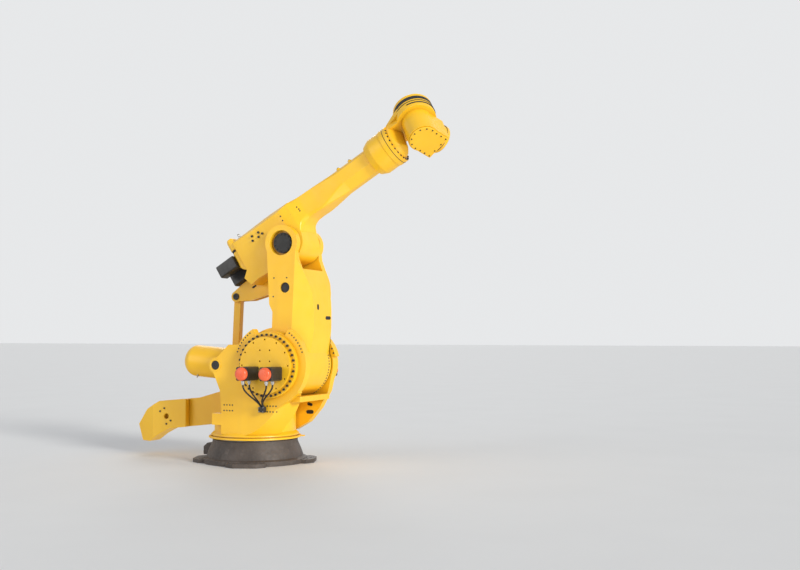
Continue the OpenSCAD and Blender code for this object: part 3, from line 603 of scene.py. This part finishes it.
def grommets(name, spots, body):
    """Plugs of (spot, length, width, direction of their length)."""
    bm = bmesh.new()
    for (point, normal), length, width, along in spots:
        along = (along - normal * along.dot(normal)).normalized()
        axes = Matrix((along, normal.cross(along), normal)).transposed()
        grommet(bm, Matrix.Translation(point) @ axes.to_4x4(), length, width)
    piece(name, bm, "black_rubber", body)


def eyebolt(bm, matrix, radius):
    """Lifting eye: a collar and a ring that stands on it."""
    bar = 0.28 * radius
    collar, neck, bore = 1.1 * radius, 0.9 * radius, 0.3 * radius
    shoulder, top = 0.25 * radius, 0.35 * radius
    rise = radius + 0.4 * radius
    turned(bm, matrix, ((collar, DEEP_SEAT), (collar, shoulder), (neck, top), (bore, top)))
    middle = matrix @ Matrix.Translation((0, 0, rise))
    tube(bm, circle_points(middle, radius, 0, 360, 24), bar, closed=True)


# Spots on the surfaces

trees = {}


def surface_tree(mesh):
    return BVHTree.FromPolygons([v.co for v in mesh.vertices],
                                [p.vertices for p in mesh.polygons])


def hit(node, start, direction):
    """Where a straight line first meets a node: the point and the outward normal."""
    if node not in trees:
        trees[node] = surface_tree(nodes[node].data)
    point, normal, _, _ = trees[node].ray_cast(start, direction)
    if point is None:
        raise ValueError("no surface of %s there" % node)
    return point, (normal if normal.dot(direction) < 0 else -normal)


def seen(node, pixel):
    """The spot of a node that shows at a pixel of the photograph."""
    width, height = PHOTO_SIZE
    focus = CAMERA_LENS / SENSOR_WIDTH * width
    turn = bpy.context.scene.camera.rotation_euler.to_matrix()
    ray = turn @ Vector((pixel[0] - width / 2, height / 2 - pixel[1], -focus))
    return hit(node, CAMERA_PLACE, ray.normalized())


def on_side(node, x, z, side):
    """The spot of a node at x and z, seen from the near (-1) or far (1) side."""
    return hit(node, Vector((x, CLEAR_OF_PART * side, z)), Vector((0, -side, 0)))


def around(centre, radius, degrees):
    """x and z of a point on a circle about a crosswise axis."""
    angle = math.radians(degrees)
    return centre.x + radius * math.cos(angle), centre.z + radius * math.sin(angle)


def bolt_circle(node, centre, radius, angles, side):
    """Spots of a node on a circle about a crosswise axis, seen from one side."""
    return [on_side(node, *around(centre, radius, degrees), side) for degrees in angles]


# Details, body by body

def dress_drives():
    """Bolts and threaded holes of the drive plates, of the near wall and of the far rim."""
    plate_radius, ear_radius, far_radius = 0.395, 0.505, 0.468
    plate_angles = [10 * k for k in range(36) if k % 18]
    jack_angles = (-2.2, 2.2, 177.8, 182.2)
    ear_angles = [20 + 5 * k for k in range(8)] + [125 + 5 * k for k in range(8)]
    far_angles = [18 + 8 * k for k in range(11)]
    for label, side in (("near", -1), ("far", 1)):
        plate = label + "_drive_plate"
        bolts = bolt_circle(plate, SHOULDER, plate_radius, plate_angles, side)
        screws(label + "_plate_bolts", bolts, PLATE_BOLT, "turret")
        jacks = bolt_circle(plate, SHOULDER, plate_radius, jack_angles, side)
        screws(label + "_jack_holes", jacks, SET_SCREW, "turret", set_screw)
    spots = bolt_circle("turret_body", SHOULDER, ear_radius, ear_angles, -1)
    pitch = 0.042
    for left in (-0.155, 0.490):
        for column in range(4):
            for height in (0.712, 0.785):
                spots.append(on_side("turret_body", left + pitch * column, height, -1))
    screws("near_wall_holes", spots, SET_SCREW, "turret", set_screw)
    bolts = []
    for degrees in far_angles:
        x, z = around(SHOULDER, far_radius, degrees)
        bolts.append(hit("turret_body", Vector((x, 0, z)), LEFT))
    screws("far_rim_screws", bolts, FLUSH_SCREW, "turret", set_screw)


def dress_motors():
    """End screws of the motors, and the glands and screws of the connector box."""
    for label, side in (("near", -1), ("far", 1)):
        low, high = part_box(label + "_motors")
        face = low[1] if side < 0 else high[1]
        width = high[2] - low[2]
        reach = 0.41 * width
        spots = []
        for centre in (low[0] + width / 2, high[0] - width / 2):
            for x in (-1, 1):
                for z in (-1, 1):
                    corner = (centre + reach * x, face, (low[2] + high[2]) / 2 + reach * z)
                    spots.append((Vector(corner), Vector((0, side, 0))))
        screws(label + "_motor_screws", spots, SMALL_BOLT, "turret")
    low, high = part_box("connector_box")
    pitch, depth, zigzag = 0.016, 0.048, 0.030
    bm = bmesh.new()
    for k in range(4):
        spot = Vector((low[0] + pitch + pitch * k, low[1] + depth - zigzag * (k % 2), high[2]))
        turned(bm, surface_matrix(spot, UP), GLAND, hexagons=2)
    piece("lead_glands", bm, "black_plastic", "turret")
    inset = 0.010
    corners = [(Vector((x, low[1], z)), NEAR) for x in (low[0] + inset, high[0] - inset)
               for z in (low[2] + inset, high[2] - inset)]
    screws("box_screws", corners, BOX_SCREW, "turret", slot="bare_steel")


def dress_turret():
    """Plugs in the far panel, and the cap and collar of the trunnion."""
    slanted = Vector((1, 0, -0.25))
    panel = [(seen("turret_body", (310.0, 404.2)), 0.080, 0.040, slanted),
             (seen("turret_body", (310.0, 411.8)), 0.110, 0.052, FRONT)]
    grommets("far_panel_plugs", panel, "turret")
    low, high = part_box("balancer_trunnion")
    centre = Vector(((low[0] + high[0]) / 2, low[1], (low[2] + high[2]) / 2))
    bm = bmesh.new()
    turned(bm, surface_matrix(centre, NEAR), TRUNNION_CAP)
    piece("trunnion_cap", bm, "black_plastic", "turret")
    beside_pin = 0.080
    wall, _ = on_side("turret_body", centre.x, centre.z + beside_pin, -1)
    bm = bmesh.new()
    foot = surface_matrix(Vector((centre.x, wall.y, centre.z)), NEAR)
    flat_ring(bm, foot, *TRUNNION_COLLAR)
    piece("trunnion_collar", bm, "yellow_paint", "turret")


def dress_arm():
    """Screws and plugs of the lower arm, and the bolts of its elbow covers."""
    rim_middle = Vector((SHOULDER.x, 0.285, SHOULDER.z))
    rim = []
    for k in range(17):
        angle = math.radians(5 * k - 65)
        out = Vector((math.cos(angle), 0, math.sin(angle)))
        rim.append(hit("lower_arm", rim_middle + out, -out))
    screws("hub_rim_screws", rim, FLUSH_SCREW, "lower_arm", set_screw)
    pixels = ((274.0, 278.0), (286.7, 277.6), (273.3, 296.6))
    spots = [seen("lower_arm", pixel) for pixel in pixels]
    screws("arm_screws", spots, SET_SCREW, "lower_arm", set_screw)
    front = [(seen("lower_arm", (318.0, 307.0)), 0.078, 0.050, UP),
             (seen("lower_arm", (328.0, 318.0)), 0.150, 0.046, LEFT)]
    grommets("arm_front_plugs", front, "lower_arm")
    angles = [30 * k + 15 for k in range(12)]
    for label, node, side, radius in (("elbow_cap", "elbow_cap", -1, 0.115),
                                      ("elbow_far", "lower_arm", 1, 0.165)):
        spots = bolt_circle(node, ELBOW, radius, angles, side)
        screws(label + "_bolts", spots, COVER_BOLT, "lower_arm")


def neck_blend():
    """Smooth casting between the forearm's root and tube."""
    rows = []
    for distance, half in NECK:
        rows.append([distance] + [value for point in half for value in point])
    stations = []
    for i in range(len(rows) - 1):
        nearby = rows[max(i - 1, 0)], rows[i], rows[i + 1], rows[min(i + 2, len(rows) - 1)]
        for k in range(NECK_STEPS):
            stations.append([between(*values, k / NECK_STEPS) for values in zip(*nearby)])
    stations.append(rows[-1])
    loops = []
    for distance, *flat in stations:
        half = [Vector((across, up, 0)) for across, up in zip(flat[::2], flat[1::2])]
        whole = half + [Vector((-point.x, point.y, 0)) for point in reversed(half)]
        loops.append([(distance, point.x, point.y) for point in rounded(whole, NECK_ROUNDING)])
    bm = bmesh.new()
    stack(bm, FORE, loops)
    return piece("neck_blend", bm, "yellow_paint", "forearm")


def slot_seal():
    """Black strip in the slot of the rear housing."""
    outline = rounded([Vector((x, y, 0)) for x, y in SLOT_PLAN], SLOT_ROUNDING)
    bm = bmesh.new()
    stack(bm, FORE, [[(point.x, point.y, level) for point in outline] for level in SLOT_LEVELS])
    piece("slot_seal", bm, "black_rubber", "forearm")


def root_screw(pixel):
    """The spot of a root screw: on the neck blend where that covers the casting."""
    neck_column = 295
    found = [seen("forearm", pixel)]
    if pixel[0] > neck_column:
        found.append(seen("neck_blend", pixel))
    return min(found, key=lambda spot: (spot[0] - CAMERA_PLACE).length)


def dress_forearm():
    """Neck, slot strip, screws, lifting eyes, bosses and joint seal of the forearm."""
    trees["neck_blend"] = surface_tree(neck_blend().data)
    slot_seal()
    root = ((288.5, 209.8), (290.9, 214.3), (280.5, 216.3), (282.6, 220.5), (280.5, 226.7),
            (277.8, 228.7), (296.7, 207.1), (298.8, 209.1), (299.8, 210.8))
    spots = [root_screw(pixel) for pixel in root]
    screws("root_screws", spots, SET_SCREW, "forearm", set_screw)
    cover = ((252.3, 236.3), (253.0, 240.8), (258.5, 232.5), (258.8, 237.0), (262.5, 233.5))
    spots = [seen("forearm", pixel) for pixel in cover]
    screws("gear_cover_bolts", spots, PLATE_BOLT, "forearm")

    def on_top(distance, lateral):
        above = FORE @ Vector((distance, lateral, CLEAR_OF_FOREARM))
        return hit("forearm", above, FORE.to_3x3() @ Vector((0, 0, -1)))

    eye_distance, eye_radius = -0.58, 0.026
    bm = bmesh.new()
    for lateral in (-0.17, 0.17):
        point, normal = on_top(eye_distance, lateral)
        eyebolt(bm, surface_matrix(point, normal), eye_radius)
    piece("lifting_eyes", bm, "bare_steel", "forearm")
    boss_height = TUBE_BOSS[-1][1]
    bosses = bmesh.new()
    plugs = []
    for distance in (1.09, 1.28):
        for lateral in (-0.085, 0.085):
            point, normal = on_top(distance, lateral)
            turned(bosses, surface_matrix(point, normal), TUBE_BOSS)
            plugs.append((point + normal * boss_height, normal))
    piece("tube_bosses", bosses, "yellow_paint", "forearm")
    screws("tube_boss_screws", plugs, COVER_BOLT, "forearm")
    seal_radius, seal_bar = 0.2605, 0.004
    bm = bmesh.new()
    mouth = FORE @ Matrix.Translation(FORE.inverted() @ joint_point("wrist_roll"))
    mouth = mouth @ Matrix.Rotation(math.radians(90), 4, "Z")
    tube(bm, circle_points(mouth, seal_radius, 0, 360, 96), seal_bar, closed=True)
    piece("wrist_joint_seal", bm, "black_rubber", "forearm")


def dress_clevis():
    """Plugs of the link clevis and caps of its pin."""
    along = FORE.to_3x3() @ Vector((1, 0, 0))
    plugs = [(seen("link_lug", pixel), 0.070, 0.026, along)
             for pixel in ((254.4, 286.6), (263.0, 284.5))]
    grommets("clevis_plugs", plugs, "forearm")
    low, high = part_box("upper_link_pin")
    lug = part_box("link_lug")
    for label, face, side in (("near", lug[0][1], -1), ("far", lug[1][1], 1)):
        bm = bmesh.new()
        centre = Vector(((low[0] + high[0]) / 2, face, (low[2] + high[2]) / 2))
        turned(bm, surface_matrix(centre, Vector((0, side, 0))), PIN_CAP)
        piece(label + "_link_pin_cap", bm, "black_plastic", "forearm")


def wrist_prow():
    """Blunt wedge of the wrist casting, in the room that the turning head leaves behind it."""
    stations = (0.040, 0.055, 0.070, 0.085, 0.100, 0.115, 0.130, 0.145, 0.158, 0.168, 0.174)
    head_reach, slope, clearance = 0.1955, math.sqrt(3), 0.016
    top, bottom, half_width, widest = 0.190, -0.222, 0.222, 0.225
    taper, top_narrowing, squareness = 0.30, 0.057, 6
    count = 20
    loops = []
    for x in stations:
        limit = min(widest, (head_reach - x) * slope - clearance)
        keel = bottom * (1 - taper * (x / stations[-1]) ** 2)
        side = []
        for k in range(count):
            y = top + (keel - top) * math.sin(math.pi / 2 * k / count)
            if y > 0:
                half = half_width - top_narrowing * (y / top) ** 2
            else:
                half = half_width * math.sqrt(1 - (y / keel) ** 2)
            z = (limit ** -squareness + half ** -squareness) ** (-1 / squareness)
            side.append((y, z))
        loops.append([(x, y, z) for y, z in side] + [(x, keel, 0)]
                     + [(x, y, -z) for y, z in reversed(side)])
    bm = bmesh.new()
    stack(bm, WRIST, loops)
    piece("wrist_prow", bm, "yellow_paint", "wrist")


def dress_wrist():
    """Flange bolts, wedge, drum bolts and black rings of the wrist."""
    flange_radius, flange_front, drum_cover = 0.243, 0.3, 0.35
    ahead = WRIST.to_3x3() @ Vector((1, 0, 0))
    flange = []
    for k in range(24):
        angle = math.radians(15 * k)
        if math.cos(angle) < drum_cover:
            start = WRIST @ Vector((flange_front, flange_radius * math.cos(angle),
                                    flange_radius * math.sin(angle)))
            flange.append(hit("wrist_body", start, -ahead))
    screws("wrist_flange_bolts", flange, COVER_BOLT, "wrist")
    wrist_prow()
    drum_radius, drum_above = 0.232, 0.6
    axis = joint_axis("wrist_bend")
    drum = WRIST @ Matrix.Translation(WRIST.inverted() @ joint_point("wrist_bend"))
    outer = drum @ Vector((0, drum_above, 0))
    top = []
    for k in range(16):
        angle = math.radians(22.5 * k)
        offset = drum.to_3x3() @ Vector((drum_radius * math.cos(angle), 0,
                                         drum_radius * math.sin(angle)))
        top.append(hit("wrist_body", outer + offset, -axis))
    screws("drum_bolts", top, COVER_BOLT, "wrist")
    band_level, hoop_radius = 0.264, 0.261
    bm = bmesh.new()
    flat_ring(bm, surface_matrix(drum @ Vector((0, band_level, 0)), axis), *DRUM_BAND)
    for level, start, stop, steps, bar in ((0.234, 0, 360, 96, 0.007), (0.189, 8, 172, 49, 0.010)):
        middle = drum @ Matrix.Translation((0, level, 0))
        whole = stop - start == 360
        tube(bm, circle_points(middle, hoop_radius, start, stop, steps), bar, closed=whole)
    piece("wrist_seals", bm, "black_rubber", "wrist")


def dress_head():
    """Screws of the head cover, and the painted rim of the tool flange."""
    round_end = 0.165
    cover = []
    for degrees in range(90, 271, 30):
        angle = math.radians(degrees)
        cover.append((round_end * math.cos(angle), round_end * math.sin(angle)))
    cover += [(x, z) for x in (0.08, 0.16, 0.245) for z in (-0.158, 0.158)]
    cover += [(0.252, -0.06), (0.252, 0.06)]
    inward = HEAD.to_3x3() @ Vector((0, 1, 0))
    spots = [hit("head_cover", HEAD @ Vector((x, -CLEAR_OF_HEAD, z)), inward) for x, z in cover]
    screws("head_cover_screws", spots, SMALL_BOLT, "tool_head")
    rim_foot = 0.342
    bm = bmesh.new()
    rim = surface_matrix(HEAD @ Vector((rim_foot, 0, 0)), joint_axis("tool_roll"))
    flat_ring(bm, rim, *FLANGE_COLLAR)
    piece("flange_collar", bm, "yellow_paint", "tool_flange")


def dress_lever():
    """Bolts round the hole of the counterweight."""
    pixels = ((160.2, 411.2), (164.4, 408.1), (170.7, 420.6), (166.5, 423.8))
    spots = [seen("counterweight", pixel) for pixel in pixels]
    screws("counterweight_bolts", spots, COVER_BOLT, "lever")


def dress_balancer():
    """Charging valve under the rear of the balancer."""
    bm = bmesh.new()
    point, normal = seen("balancer_cylinder", (198.0, 375.0))
    turned(bm, surface_matrix(point, normal), VALVE, hexagons=2)
    piece("balancer_valve", bm, "bare_steel", "balancer")


def dress_base():
    """Plug sockets on the box behind the base."""
    socket_height, behind = 0.052, -2
    low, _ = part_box("base_connector")
    shells = bmesh.new()
    inserts = bmesh.new()
    for y in (-0.135, -0.045, 0.045, 0.135):
        start = Vector((behind, y, low[2] + socket_height))
        seat = surface_matrix(*hit("base_connector", start, FRONT))
        turned(shells, seat, SOCKET_SHELL)
        turned(inserts, seat, SOCKET_INSERT)
    piece("base_sockets", shells, "bare_steel", "base")
    piece("base_socket_inserts", inserts, "black_plastic", "base")


def make_floor():
    """Pale floor that takes the shadow and casts none, so that the low lamp reaches the part."""
    g = Graph("floor")
    g.paint(g.levels(g.noise(0.8, 5), (0.3, 0.72), (0.7, 0.735)))
    g.shader.inputs["Roughness"].default_value = 0.8
    bm = bmesh.new()
    bmesh.ops.create_grid(bm, x_segments=4, y_segments=4, size=FLOOR_SIZE)
    mesh = bpy.data.meshes.new("floor")
    bm.to_mesh(mesh)
    bm.free()
    mesh.materials.append(g.material)
    floor = bpy.data.objects.new("floor", mesh)
    floor.location = (0, 0, FLOOR_LEVEL)
    floor.visible_shadow = False
    bpy.context.scene.collection.objects.link(floor)


make_camera()
bpy.context.view_layer.update()
make_light()
make_floor()
materials = make_materials()
dress_nodes()
dress_drives()
dress_motors()
dress_turret()
dress_arm()
dress_forearm()
dress_clevis()
dress_wrist()
dress_head()
dress_lever()
dress_balancer()
dress_base()
